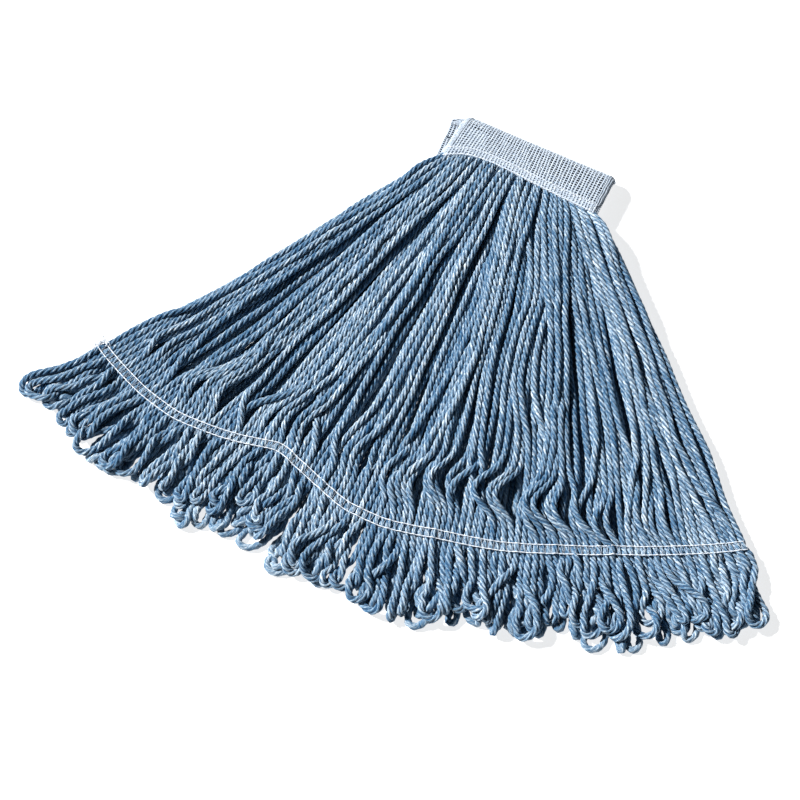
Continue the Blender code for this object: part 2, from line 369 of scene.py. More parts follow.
def build(name, tubes, material, body=None):
    """One mesh object from tubes, each (ring points, fibre, painted shade, strand number)."""
    points, quads, caps, extra, start = [], [], [], [], 0
    for ring, fibre, painted_shade, strand in tubes:
        count, sides = ring.shape[:2]
        points.append(ring.reshape(-1, 3))
        extra.append((fibre.reshape(-1, 3), painted_shade.reshape(-1), np.full(count * sides, strand)))
        a = start + np.arange((count - 1) * sides).reshape(count - 1, sides)
        b = np.roll(a, -1, axis=1)
        quads.append(np.stack([a, b, b + sides, a + sides], axis=-1).reshape(-1, 4))
        caps.append(start + np.arange(sides)[::-1])
        caps.append(start + (count - 1) * sides + np.arange(sides))
        start += count * sides
    points = np.concatenate(points)
    quads = np.concatenate(quads)
    sizes = np.concatenate([np.full(len(quads), 4), [len(c) for c in caps]]).astype(np.int32)
    corners = np.concatenate([quads.reshape(-1), *caps]).astype(np.int32)
    mesh = bpy.data.meshes.new(name)
    mesh.vertices.add(len(points))
    mesh.vertices.foreach_set("co", points.astype(np.float32).reshape(-1))
    mesh.loops.add(len(corners))
    mesh.loops.foreach_set("vertex_index", corners)
    mesh.polygons.add(len(sizes))
    starts = np.concatenate([[0], np.cumsum(sizes)[:-1]]).astype(np.int32)
    mesh.polygons.foreach_set("loop_start", starts)
    mesh.polygons.foreach_set("use_smooth", np.ones(len(sizes), bool))
    mesh.update(calc_edges=True)
    mesh.validate()
    # vertex attributes: fibre place for the noise, painted shade, and the strand's random tone
    for label, kind, column in (
        ("fibre", "FLOAT_VECTOR", 0),
        ("painted_shade", "FLOAT", 1),
        ("strand", "FLOAT", 2),
    ):
        layer = mesh.attributes.new(label, kind, "POINT")
        values = np.concatenate([part[column] for part in extra]).astype(np.float32)
        layer.data.foreach_set("vector" if kind == "FLOAT_VECTOR" else "value", values.reshape(-1))
    mesh.materials.append(material)
    obj = bpy.data.objects.new(name, mesh)
    bpy.context.scene.collection.objects.link(obj)
    if body:
        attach(obj, body)
    return obj


def yarn_tube(path, radius, strand, sides=16, phase=0.0):
    ring, fibre, painted_shade = rings(path, radius, sides, PLIES, PLY_SIZE, TWIST_PITCH, phase)
    return ring, fibre, painted_shade, strand


def plain_tube(path, radius, sides=6, flat=1.0, aside=None):
    ring, fibre, painted_shade = rings(np.asarray(path, float), radius, sides, flat=flat, aside=aside)
    return ring, fibre, painted_shade, 0.0


# ---------------------------------------------------------------- the fan


def fan(across, reach):
    """Plan position of a point on the fan, as an array of x and y."""
    across, reach = np.broadcast_arrays(across, reach)
    across = across + sway(across, reach) / half_width(reach)
    angle = FAN_ANGLE * across + FAN_TURN * smooth(reach / 0.05)
    x = HALF_WIDTH * across + reach * np.sin(angle)
    return np.stack([x, EDGE_Y - reach * np.cos(angle)], -1)


# the front tail band: places across the fan, and how far it lies beyond the strands' length there
BAND_AT = (-1.0, -0.97, -0.81, -0.69, -0.53, -0.39, -0.27, -0.14, -0.02, 0.13)
BAND_AT += (0.30, 0.47, 0.64, 0.81, 1.0)
BAND_OUT = (0.012, 0.013, 0.013, 0.009, -0.007, -0.025, -0.016, -0.004, -0.002, -0.008)
BAND_OUT += (-0.010, -0.015, -0.017, -0.015, -0.011)


def band_reach(across, half):
    """How far out the tail band starts. The front one has the kinks that lying down gives it."""
    across = np.asarray(across, float)
    if half == "back":
        return STRAND_LENGTH - 0.004 - 0.009 * across + 0.003 * np.sin(9 * across + 1.0)
    spots = np.linspace(-1.1, 1.1, 177)
    wave = softened(np.interp(spots, BAND_AT, BAND_OUT), 9)
    return STRAND_LENGTH + np.interp(across, spots, wave)


# the fan's two sides: reaches, and how far each side lies to the right of a straight line there
LEFT_EDGE = ((0.0, 0.10, 0.215, 0.317, 0.363), (0.0, 0.0015, 0.0095, 0.010, 0.010))
RIGHT_EDGE = ((0.0, 0.01, 0.10, 0.17, 0.25, 0.34), (0.0, 0.005, 0.007, 0.004, 0.005, 0.001))


def sway(across, reach):
    """How far the fan's two sides lie off straight lines, in metres across the fan."""
    left = smooth((-across - 0.2) / 0.8) * np.interp(reach, *LEFT_EDGE)
    right = smooth((across - 0.2) / 0.8) * np.interp(reach, *RIGHT_EDGE)
    return left + right


def half_width(reach):
    """Metres across the fan for one unit of across, at this reach."""
    return HALF_WIDTH + np.maximum(reach, 0.0) * FAN_ANGLE


def between_halves(reach):
    """The height at which the two halves' yarn meets."""
    share = np.clip(reach / STRAND_LENGTH, 0.0, 1.0)
    return MIDDLE_Z + (LAYER - MIDDLE_Z) * share


# the headband's lower edge: places across it, and how far it is drawn up there
EDGE_AT = np.linspace(-1, 1, 17)
EDGE_UP = np.array(
    [0.0, 0.0045, 0.0090, 0.0112, 0.0118, 0.0115, 0.0108, 0.0100, 0.0086]
    + [0.0072, 0.0060, 0.0048, 0.0036, 0.0026, 0.0016, 0.0007, 0.0]
)


def lower_edge(x):
    """The headband's lower edge is drawn up a little at its middle."""
    share = np.clip(x / HALF_WIDTH, -1.0, 1.0)
    return np.interp(share, EDGE_AT, EDGE_UP)


def fold_tilt(x):
    """The fold isn't quite parallel to the strands' ends: it stands higher at the left."""
    return 0.0016 - 0.044 * np.asarray(x, float)


def slant(x, up, half):
    """How far the tape has slipped sideways at this height: its two ends aren't square."""
    leans = 0.0100 * smooth((0.015 - x) / 0.09) + 0.0045 * smooth((x - 0.015) / 0.06)
    if half == "front":
        return leans * up / TAPE_REACH
    turned = smooth((up - TAPE_REACH + 0.008) / 0.008)
    return leans * turned - 0.0045 * (1 - turned)


# ---------------------------------------------------------------- strands


STATIONS = 116
INSIDE = 0.020  # how far the strands start above the headband's lower edge
MOUTH = 0.030  # over which they open out below it
TIERS = 4
SETTLING_ROUNDS = 46
PAST_BAND = (0.004, 0.0070, 0.0100)  # the last three stations, beyond band_reach
BACK_PLUMPNESS = 1.07
TAIL_SIDES = {"front": 16, "back": 12}
TAIL_STEP = {"front": 0.0018, "back": 0.0028}


def kink(out, at, size):
    """A sideways hook: the strand swings out slowly and comes back quickly."""
    return size * smooth((out - at + 0.095) / 0.085) * smooth((at + 0.058 - out) / 0.048)


# spare length gathers in hooks above the front band: from, to, where along, sideways, lift
KINKS = (
    (-0.92, -0.80, 0.89, -0.005, 0.002),
    (-0.74, -0.60, 0.91, -0.011, 0.005),
    (-0.56, -0.47, 0.92, -0.009, 0.004),
    (-0.44, -0.33, 0.93, -0.008, 0.003),
    (-0.24, -0.15, 0.89, -0.008, 0.003),
    (-0.05, 0.060, 0.90, -0.013, 0.005),
    (0.095, 0.185, 0.875, -0.016, 0.006),
    (0.265, 0.345, 0.890, -0.024, 0.009),
    (0.400, 0.465, 0.910, -0.022, 0.009),
    (0.485, 0.545, 0.925, -0.018, 0.008),
    (0.570, 0.635, 0.938, -0.015, 0.007),
    (0.720, 0.800, 0.940, -0.007, 0.003),
)


def strand_targets(half, rng):
    """Where each strand would run, and on which tier: rows are strands and columns are stations."""
    end = band_reach(STRAND_PLACE, half)[:, None]
    reach = -INSIDE + (end + INSIDE) * np.linspace(0.0, 1.0, STATIONS)[None, :]
    out = np.clip(reach / end, 0.0, 1.0)
    width = half_width(reach)
    tier = np.concatenate([rng.permutation(TIERS) for _ in range(STRANDS // TIERS)])
    side = np.zeros_like(out)
    lift = np.zeros_like(out)
    for number in range(TIERS):
        members = np.flatnonzero(tier == number)
        while len(members):
            count = int(rng.integers(2, 6)) if number > 1 else int(rng.integers(1, 4))
            group, members = members[:count], members[count:]
            o = out[group]
            centre = STRAND_PLACE[group].mean() + rng.normal(0, 0.010)
            upper = number > 1 and half == "front"
            grip = rng.uniform(0.45, 0.85) if upper else rng.uniform(0.0, 0.2)
            gather = smooth(o / rng.uniform(0.15, 0.4)) * smooth((1 - o) / rng.uniform(0.25, 0.5))
            off = (centre - STRAND_PLACE[group])[:, None]
            side[group] += off * width[group] * grip * gather
            rate, phase = rng.uniform(0.6, 1.8), rng.uniform(0, 2 * pi)
            swing = rng.uniform(0.0010, 0.0055 if upper else 0.0016)
            swing = swing * np.sin(2 * pi * rate * o + phase)
            side[group] += swing * smooth(o / 0.3) * smooth((1 - o) / 0.15)
            if upper:
                lift[group] += rng.uniform(0.0, 0.0035) * np.sin(pi * o) ** 2
    phase = rng.uniform(0, 2 * pi, (STRANDS, 1))
    rate = rng.uniform(2.5, 6.5, (STRANDS, 1))
    size = rng.uniform(0.0003, 0.0014, (STRANDS, 1))
    side += size * np.sin(2 * pi * rate * out + phase) * smooth(out / 0.2)
    if half == "front":
        for low, high, at, size, rise in KINKS:
            inside = smooth((STRAND_PLACE - low) / 0.016 + 0.5)
            inside = inside * smooth((high - STRAND_PLACE) / 0.016 + 0.5)
            inside = inside * np.where(tier > 0, 1.0, 0.35)
            late = at + rng.normal(0, 0.006, STRANDS)
            shape = kink(out, late[:, None], 1.0)
            side += inside[:, None] * shape * size
            lift += inside[:, None] * shape * rise
    return reach, side, lift, tier


def pack_strands(half):
    """Settles the strands of one half on each other, station by station, sideways and up."""
    reach, side, lift, tier = strand_targets(half, np.random.default_rng(SEED[half]))
    width = half_width(reach)
    target = STRAND_PLACE[:, None] * width + side
    mouth = -lower_edge(STRAND_PLACE * HALF_WIDTH)[:, None]
    if half == "front":
        floor = between_halves(reach) + 0.0002
        opened = np.clip((reach - mouth) / MOUTH, 0.0, 1.0)
        ceiling = MIDDLE_Z + TAPE_FACE - 0.0004 + 0.03 * opened
    else:
        floor, ceiling = np.zeros_like(reach), between_halves(reach) - 0.0002
    tall = 0.0048 if half == "front" else 0.0034
    order = tier[:, None] / (TIERS - 1)
    tied = MIDDLE_Z + OUTWARD[half] * (0.0034 + order * tall) + 0 * reach
    spare = np.maximum(STRANDS * YARN_R / width - 1.0, 0.0)
    order = order if half == "front" else 1 - order
    loose = floor + YARN_R + order * spare * 2 * YARN_R * 0.88 + lift
    goal = tied + (loose - tied) * smooth((reach - mouth) / MOUTH)
    goal = np.clip(goal, floor + YARN_R * 0.9, ceiling - YARN_R * 0.9)
    q, z = target.copy(), goal.copy()
    apart = 2 * YARN_R * (0.44 + 0.50 * smooth(reach[0] / MOUTH))
    held = (reach <= 0.001) | (reach >= reach[:, -1:] - 0.004)
    self_pair = np.arange(STRANDS)
    for _ in range(SETTLING_ROUNDS):
        dq = q[:, None, :] - q[None, :, :]
        dz = z[:, None, :] - z[None, :, :]
        far = np.sqrt(dq * dq + dz * dz) + 1e-9
        push = np.clip(apart[None, None, :] - far, 0.0, None) * 0.5 / far
        push[self_pair, self_pair] = 0.0
        q += np.clip((push * dq).sum(1) * 0.55, -0.001, 0.001)
        z += np.clip((push * dz).sum(1) * 0.55, -0.001, 0.001)
        # back a little towards the plan, then smoothed along each strand
        q += (target - q) * 0.06
        z += (goal - z) * 0.05
        z = np.clip(z, floor + YARN_R * 0.93, ceiling - YARN_R * 0.8)
        q[:, 1:-1] += 0.22 * (q[:, :-2] + q[:, 2:] - 2 * q[:, 1:-1])
        z[:, 1:-1] += 0.30 * (z[:, :-2] + z[:, 2:] - 2 * z[:, 1:-1])
        q = np.where(held, target, q)
        z = np.where(reach <= 0.001, tied, z)
    plan = fan(q / width, reach)
    plan[..., 1] += lower_edge(plan[..., 0]) * smooth(1 - reach / 0.03)
    return np.concatenate([plan, z[..., None]], -1)


def end_of_strand(paths, half):
    """Carries each strand straight through the tail band: two stations under it and one past it."""
    added = []
    for past in PAST_BAND:
        plan = fan(STRAND_PLACE, band_reach(STRAND_PLACE, half) + past)
        added.append(np.concatenate([plan, paths[:, -1, 2:]], -1))
    return np.concatenate([paths, np.stack(added, 1)], 1)


def build_tails(half, paths):
    """The strands of one half, one piece for each CAD bundle."""
    step = TAIL_STEP[half]
    bundle = np.clip(((STRAND_PLACE + 1) / 2 * BUNDLES).astype(int), 0, BUNDLES - 1)
    plump = 1.0 if half == "front" else BACK_PLUMPNESS
    for number in range(BUNDLES):
        tubes = []
        for i in np.flatnonzero(bundle == number):
            path = resample(paths[i], step)
            along = np.arange(len(path)) * step
            wobble = 1 + 0.05 * np.sin(along / 0.017 + i)
            pressed = 0.80 + 0.20 * smooth((along - INSIDE) / 0.022)
            pressed = pressed * (0.55 + 0.45 * smooth((along[-1] - along) / 0.004))
            radius = YARN_R * SIZE[half][i] * wobble * pressed * plump
            tubes.append(
                yarn_tube(path, radius, SHADE[half][i], TAIL_SIDES[half], PHASE[half][i])
            )
        name = f"strands_{half}_{number + 1}"
        obj = build(name, tubes, YARN)
        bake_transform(obj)
        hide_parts(f"tails_{half}_{number + 1}")


SIZE = {half: RNG.uniform(0.93, 1.07, STRANDS) for half in HALVES}
SHADE = {half: RNG.uniform(0.0, 1.0, STRANDS) for half in HALVES}
PHASE = {half: RNG.uniform(0.0, 2 * pi, STRANDS) for half in HALVES}


# ---------------------------------------------------------------- loose loops


LOOP_POINTS = 64
LOOP_SETTLING_ROUNDS = 44
LOOP_SIDES = {"front": 16, "back": 12}
LOOP_STEP = {"front": 0.0018, "back": 0.0024}
OPEN_EYES = 0.50
CLOSED_GAP = 0.0031  # from a loop's middle to each of its legs where they lie together
TIP_REACH = 0.43
# places across the fan, and what the loops' length there has over the CAD model's
LOOP_SPARE = ((-0.85, -0.35, -0.10, 0.0, 0.5), (0.005, -0.009, -0.005, -0.005, -0.008))
# the loops that are pieces of their own
DECLARED = {"front": range(1, LOOPS, 2), "back": range(2, LOOPS, 5)}


def loop_clusters(count, rng):
    """Neighbouring loops bunch together towards their tips: each loop's cluster centre and pull."""
    centre, pull = np.zeros(count), np.zeros(count)
    start = 0
    while start < count:
        size = int(rng.integers(2, 5))
        group = slice(start, min(start + size, count))
        centre[group] = LOOP_PLACE[group].mean()
        pull[group] = rng.uniform(0.10, 0.45)
        start += size
    return centre, pull


def loop_path(number, half, legs_start, cluster, rng):
    """One loop's starting line, out from the tail band and back to it."""
    across = LOOP_PLACE[number]
    reach = float(band_reach(across, half)) + PAST_BAND[0]
    origin = fan(across, reach)
    angle = FAN_ANGLE * across + FAN_TURN
    outward = np.array([sin(angle), -cos(angle)])
    aside = np.array([cos(angle), sin(angle)])
    uneven = 0.95 + 0.07 * sin(23.0 * across) + rng.uniform(-0.12, 0.07)
    length = (LOOP_LENGTH + np.interp(across, *LOOP_SPARE)) * uneven
    open_eye = rng.random() < OPEN_EYES
    eye = rng.uniform(0.0085, 0.0120) if open_eye else rng.uniform(0.0044, 0.0066)
    bunch = (cluster[0][number] - across) * half_width(TIP_REACH) * cluster[1][number]
    lean = 0.07 * sin(9.0 * across + 0.5) + rng.normal(0, 0.07)
    lean = min(lean, 0.03) - 0.10 if across > 0.85 else lean
    curl = rng.normal(0, 0.12)
    first_tilt = rng.choice([-1.0, 1.0]) * rng.uniform(0.6, 1.35)
    turns = rng.choice([0.0, 1.0, -1.0], p=[0.55, 0.225, 0.225])
    last_tilt = rng.normal(0, 0.35) if open_eye else rng.normal(0, 0.9)
    legs = np.linspace(0, 1, 34)
    gap = CLOSED_GAP + (eye - CLOSED_GAP) * smooth((legs - 0.60) / 0.36)
    out = legs * (length - eye)
    tip = np.linspace(0, pi, 12)[1:-1]
    across_loop = np.concatenate([-gap, -gap[-1] * np.cos(tip), gap[::-1]])
    along_loop = np.concatenate([out, out[-1] + eye * np.sin(tip), out[::-1]])
    share = np.clip(along_loop / length, 0, 1)
    turned = first_tilt * smooth(share / 0.13) * smooth((0.9 - share) / 0.45)
    turned += turns * pi * smooth((share - 0.08) / 0.6) + last_tilt * smooth((share - 0.45) / 0.4)
    rise = across_loop * np.sin(turned)
    aside_by = across_loop * np.cos(turned) + bunch * smooth(share * 1.15)
    aside_by += along_loop * (lean * smooth(share * 1.6) + curl * share * 0.5)
    wave = rng.uniform(0.0008, 0.0030) * np.sin(rng.uniform(4.0, 8.0) * share + rng.uniform(0, 6.3))
    aside_by += wave * smooth(share / 0.3)
    plan = origin + aside_by[:, None] * aside + along_loop[:, None] * outward
    base = LAYER + YARN_R if half == "front" else YARN_R + 0.0005
    z = base + rise + rng.uniform(0.0, 0.005) * smooth(share / 0.3)
    path = even(at_height(plan, z), LOOP_POINTS)
    along = np.linspace(0, path_length(path), LOOP_POINTS)
    for first, start in ((0, legs_start[0]), (-1, legs_start[1])):
        near = along if first == 0 else along[-1] - along
        path += (start - path[first]) * (1 - smooth(near / 0.012))[:, None]
    return even(path, LOOP_POINTS)


def start_loops(half, paths, rng):
    """The loops before they settle, each starting from the ends of its two strands."""
    ends = paths[:, -len(PAST_BAND)]
    cluster = loop_clusters(LOOPS, rng)
    pairs = [(ends[2 * m], ends[2 * m + 1]) for m in range(LOOPS)]
    return np.stack([loop_path(m, half, pairs[m], cluster, rng) for m in range(LOOPS)])


def push_apart(first, second, apart, same):
    """Moves for two sets of paths so that no point of one is closer than apart to one of the other."""
    gap = first[:, :, None, :] - second[:, None, :, :]
    far = np.sqrt((gap * gap).sum(-1)) + 1e-9
    amount = np.clip(apart - far, 0.0, None)
    if same:
        rank = np.arange(first.shape[1])
        close = np.abs(rank[:, None] - rank[None, :]) < 5
        amount[:, close] = 0.0
    move = gap * (0.5 * amount / far)[..., None]
    return move.sum(2), -move.sum(1)


def settle_loops(front, back):
    """Lets the loops of both halves fall onto each other and the floor, at their own lengths."""
    loops = np.concatenate([front, back])
    rest = np.linalg.norm(np.diff(loops, axis=1), axis=2)
    held = [0, 1, -2, -1]
    fixed = loops[:, held].copy()
    count = len(front)
    apart = 2 * LOOP_R * 0.90
    for _ in range(LOOP_SETTLING_ROUNDS):
        move = np.zeros_like(loops)
        own, _ = push_apart(loops, loops, apart, True)
        move += own
        for shift in range(1, 6):
            for low, high in ((0, count), (count, 2 * count)):
                a, b = push_apart(loops[low : high - shift], loops[low + shift : high], apart, False)
                move[low : high - shift] += a
                move[low + shift : high] += b
        for shift in range(-4, 5):
            low, high = max(0, -shift), min(count, count - shift)
            i = np.arange(low, high)
            a, b = push_apart(loops[i], loops[count + i + shift], apart, False)
            move[i] += a
            move[count + i + shift] += b
        loops += np.clip(move * 0.6, -0.0012, 0.0012)
        # down a little, smoothed, and each stretch back to its own length
        loops[..., 2] -= 0.00010
        loops[:, 1:-1] += 0.12 * (loops[:, :-2] + loops[:, 2:] - 2 * loops[:, 1:-1])
        for odd in (0, 1) * 3:
            a, b = loops[:, odd:-1:2], loops[:, odd + 1 :: 2]
            pairs = min(a.shape[1], b.shape[1])
            a, b = a[:, :pairs], b[:, :pairs]
            line = b - a
            size = np.linalg.norm(line, axis=2, keepdims=True) + 1e-9
            want = rest[:, odd::2][:, :pairs, None]
            change = line * (0.5 * (size - want) / size)
            a += change
            b -= change
        loops[..., 2] = np.maximum(loops[..., 2], LOOP_R)
        loops[:, held] = fixed
    return loops[:count], loops[count:]


def group_of(across):
    """The number of the hinged group that a loop at this place belongs to."""
    return min(int((across + 1) / 2 * len(GROUPS)), len(GROUPS) - 1)


def join_loops(obj):
    """Bakes a piece's transform into its mesh."""
    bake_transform(obj)


def build_loops(half, loops):
    """The declared loops as pieces of their own, and the others as one piece for each group."""
    grouped = {group: [] for group in range(len(GROUPS))}
    for m in range(LOOPS):
        path = resample(loops[m], LOOP_STEP[half])
        shade = SHADE[half][2 * m]
        along = np.linspace(0, path_length(path), len(path))
        near = np.minimum(along, along[-1] - along)
        radius = YARN_R * SIZE[half][2 * m] + (LOOP_R - YARN_R) * smooth(near / 0.014)
        tube = yarn_tube(path, radius, shade, LOOP_SIDES[half], PHASE[half][2 * m])
        group = group_of(LOOP_PLACE[m])
        if m not in DECLARED[half]:
            grouped[group].append(tube)
            continue
        obj = build(f"loop_{half}_{m + 1}", [tube], YARN)
        join_loops(obj)
    for group, tubes in grouped.items():
        obj = build(f"loops_{half}_{GROUPS[group]}", tubes, YARN)
        join_loops(obj)
        first = group * CLUMPS_IN_GROUP + 1
        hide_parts(*[f"loops_{half}_{first + i}" for i in range(CLUMPS_IN_GROUP)])


# ---------------------------------------------------------------- tail band


BAND_START = 0.001  # the first row, beyond band_reach
BAND_ROWS = (("near", BAND_START), ("far", BAND_START + BAND_WIDTH))
BAND_STEP = 0.0006
BAND_STITCH = 0.0031
CROSS_THREADS = 230
TUFT_THREADS = 26
TUFT_AT = -0.997
TUFT_POINTS = 12


def strand_top(across, half, ends):
    """Height of the yarn's outer side along the tail band."""
    place = (across[:, None] - STRAND_PLACE[None, :]) * half_width(STRAND_LENGTH)
    inside = np.clip(1 - (place / YARN_R) ** 2, 0.0, 1.0) ** 0.5
    rise = np.maximum((inside * YARN_R).max(1), 0.45 * YARN_R)
    return np.interp(across, STRAND_PLACE, ends) + OUTWARD[half] * rise


def build_band(half, paths):
    """Two rows of thread across the strands, with fine cross threads between them."""
    across = np.linspace(-0.998, 0.998, 1100)
    height = softened(strand_top(across, half, paths[:, -1, 2]), 13)
    height = height + OUTWARD[half] * 0.0003
    body = f"{half}_tails"
    for row, offset in BAND_ROWS:
        plan = fan(across, band_reach(across, half) + offset)
        line = at_height(plan, height + OUTWARD[half] * 0.0002)
        if half == "back":
            line[:, 2] = np.maximum(line[:, 2], 0.0006)
        line = resample(line, BAND_STEP)
        along = np.arange(len(line)) * BAND_STEP
        radius = 0.00038 + 0.00014 * np.abs(np.sin(pi * along / BAND_STITCH))
        name = f"band_row_{half}_{row}"
        obj = build(name, [plain_tube(line, radius, 8)], THREAD, body)
        face = "top" if half == "front" else "bottom"
        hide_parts(f"band_thread_{half}_{face}_{row}")
    tubes = []
    span = np.linspace(0, 1, 7)
    for i, at in enumerate(np.linspace(-0.995, 0.995, CROSS_THREADS)):
        lean = 0.004 if i % 2 else -0.003
        spots = at + lean * span
        plan = fan(spots, band_reach(spots, half) + BAND_START + BAND_WIDTH * span)
        z = np.interp(spots, across, height) + OUTWARD[half] * 0.00005
        if half == "back":
            z = np.maximum(z, 0.0004)
        tubes.append(plain_tube(at_height(plan, z), 0.00010, 5))
    obj = build(f"band_cross_{half}", tubes, THREAD, body)
    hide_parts(f"band_cross_thread_{half}")


def build_inner_rows(half, paths):
    """The same rows on the face that the other half hides."""
    across = np.linspace(-0.998, 0.998, 420)
    ends = np.interp(across, STRAND_PLACE, paths[:, -1, 2])
    face = "bottom" if half == "front" else "top"
    for row, offset in BAND_ROWS:
        plan = fan(across, band_reach(across, half) + offset)
        line = at_height(plan, ends - OUTWARD[half] * (YARN_R - 0.0006))
        obj = build(
            f"band_row_{half}_inner_{row}",
            [plain_tube(line, 0.0004, 6)],
            THREAD,
            f"{half}_tails",
        )
        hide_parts(f"band_thread_{half}_{face}_{row}")


def build_tuft():
    """The threads' loose ends at the left end of the front band."""
    rng = np.random.default_rng(SEED["tuft"])
    band = band_reach(TUFT_AT, "front")
    start = fan(TUFT_AT, band + 0.005)
    outward = fan(-1.06, band - 0.004) - start
    outward /= np.linalg.norm(outward)
    turn = np.array([[outward[0], -outward[1]], [outward[1], outward[0]]])
    share = np.linspace(0, 1, TUFT_POINTS)
    tubes = []
    for _ in range(TUFT_THREADS):
        size = rng.uniform(0.006, 0.015)
        bend = rng.normal(0, 1.3)
        angle = rng.normal(0, 0.7) + bend * share * 2
        step = np.stack([np.cos(angle), np.sin(angle)], 1) * size / TUFT_POINTS
        plan = start + np.cumsum(step @ turn.T, axis=0)
        plan += (rng.uniform(-0.5, 0.5) * 0.008) * np.array([-outward[1], outward[0]])
        z = 0.0125 + rng.uniform(-0.003, 0.003) + 0.003 * np.sin(share * rng.uniform(2, 5))
        tubes.append(plain_tube(at_height(plan, z), rng.uniform(0.00018, 0.0004)))
    obj = build("band_thread_ends", tubes, THREAD, "front_tails")
    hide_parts("band_thread_tuft")


# ---------------------------------------------------------------- headband


def on_tape(x, up, half, lift=0.0):
    """A point on the outer face: up is measured along the tape from its lower edge to the fold's tip."""
    x, up = np.broadcast_arrays(np.asarray(x, float), np.asarray(up, float))
    semi_up, semi_out = FOLD_TIP - FOLD_START, TAPE_FACE
    turns = np.linspace(0, pi / 2, 40)
    arc = np.stack([semi_up * np.sin(turns), semi_out * np.cos(turns)], 1)
    lengths = distances(arc)
    edge, tilt = lower_edge(x), fold_tilt(x)
    scale = (FOLD_START + tilt - edge) / FOLD_START
    past = np.clip(up - FOLD_START, 0.0, lengths[-1])
    fold = FOLD_START + tilt + np.interp(past, lengths, arc[:, 0])
    y = np.where(up < FOLD_START, edge + up * scale, fold)
    lip = 0.0013 * (1 - smooth(up / 0.007))
    out = np.where(up < FOLD_START, semi_out - lip, np.interp(past, lengths, arc[:, 1]))
    turn = np.interp(past, lengths, turns)
    y = y + lift * np.sin(turn)
    out = out + lift * np.cos(turn)
    return np.stack([x + slant(x, up, half), EDGE_Y + y, MIDDLE_Z + OUTWARD[half] * out], -1)


def end_round(x):
    """How far the tape turns down at its two ends."""
    past = np.clip(np.abs(x) - (HALF_WIDTH - 0.007), 0.0, 0.007) / 0.007
    return -0.0062 * (1 - np.sqrt(1 - 0.95 * past**2))


def net(left, right, low, high, lift, rib_at=RIB_AT, row_at=ROW_AT):
    """Open mesh between these limits: flat ribs along the yarn and finer round rows across it.

    Each line is its x, up and lift, its radius, and its thickness as a share of its width.
    """
    lines = []
    for k, x in enumerate(np.arange(left + rib_at, right, RIB_PITCH)):
        up = np.append(np.arange(low, high, 0.0012), high)
        wander = 0.00022 * np.sin(up * 260 + k * 1.7) + 0.0003 * np.sin(k * 0.9 + up * 60)
        radius = 0.00086 + 0.00010 * np.sin(up * 2 * pi / ROW_PITCH + 1.0)
        lines.append((x + wander, up, lift + end_round(x), radius, 0.55))
    first = np.ceil((low - row_at) / ROW_PITCH - 0.01) * ROW_PITCH + row_at
    for k, level in enumerate(np.arange(first, high, ROW_PITCH)):
        x = np.arange(left, right + 0.0001, 0.0010)
        weave = 0.00018 * np.sin(pi * (x - left) / RIB_PITCH + pi * (k % 2))
        drift = 0.00016 * np.sin(x * 900 + k) + 0.00022 * np.sin(x * 170 + k * 0.6)
        lines.append((x, level + drift, lift + weave + end_round(x), 0.00050, 1.0))
    return lines


def on_half(lines, half):
    """The tubes of these lines on one outer face."""
    tubes = []
    for x, up, lift, radius, flat in lines:
        aside = ALONG_X if flat < 1.0 else None
        tubes.append(plain_tube(on_tape(x, up, half, lift), radius, 6, flat=flat, aside=aside))
    return tubes


def over_fold(lines):
    """The tubes of these lines over the fold: those that run up the tape go over to the other face."""
    tubes = []
    for x, up, lift, radius, flat in lines:
        if flat == 1.0:
            tubes += [plain_tube(on_tape(x, up, half, lift), radius, 6) for half in ("back", "front")]
            continue
        back = on_tape(x, up, "back", lift)
        front = on_tape(x, up, "front", lift)[::-1]
        line = np.concatenate([back, front[1:]])
        size = np.broadcast_to(radius, (len(up),))
        size = np.concatenate([size, size[::-1][1:]])
        tubes.append(plain_tube(line, size, 6, flat=flat, aside=ALONG_X))
    return tubes


def hem_lines(low, high):
    """The rolled hems at the tape's two ends."""
    lines = []
    for side, pitch in ((-1, 0.00125), (1, 0.0019)):
        for k in range(5 if side < 0 else 4):
            up = np.append(np.arange(low, high, 0.0014), high)
            x = side * (HALF_WIDTH - 0.0002 - pitch * k)
            lift = 0.0007 + end_round(x)
            lines.append((x + 0.0002 * np.sin(up * 500 + k), up, lift, 0.00052, 0.8))
        for level in np.arange(low + 0.0004, high, 0.0017):
            x = side * np.linspace(HALF_WIDTH - 0.0062, HALF_WIDTH, 9)
            lines.append((x, level + 0 * x, 0.0006 + end_round(x), 0.00036, 1.0))
    return lines


def build_tape(half):
    """The open mesh tape's outer face below the fold, and the strip doubled under it at the left."""
    tubes = on_half(net(-HALF_WIDTH, HALF_WIDTH, 0.0, TAPE_SPLIT, 0.0001), half)
    obj = build(f"tape_{half}", tubes, TAPE, None)
    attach(obj, f"{half}_headband")
    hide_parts(f"headband_tape_{half}")
    end = -HALF_WIDTH + 0.033
    under = net(-HALF_WIDTH + 0.004, end, 0.002, TAPE_SPLIT - 0.001, -0.0009, 0.0024, 0.0019)
    under = on_half(under, half)
    build(f"tape_under_{half}", under, TAPE, f"{half}_headband")


def build_fold():
    """The tape and its end hems where they turn over the fold, as two pieces."""
    low = TAPE_SPLIT - FOLD_LAP
    tubes = over_fold(net(-HALF_WIDTH, HALF_WIDTH, low, TAPE_REACH, 0.0001))
    tape = build("tape_fold", tubes, TAPE)
    hems = build("tape_fold_hems", over_fold(hem_lines(low, TAPE_REACH)), TAPE)
    for obj in (tape, hems):
        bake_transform(obj)


STITCH_PITCH = 0.0034


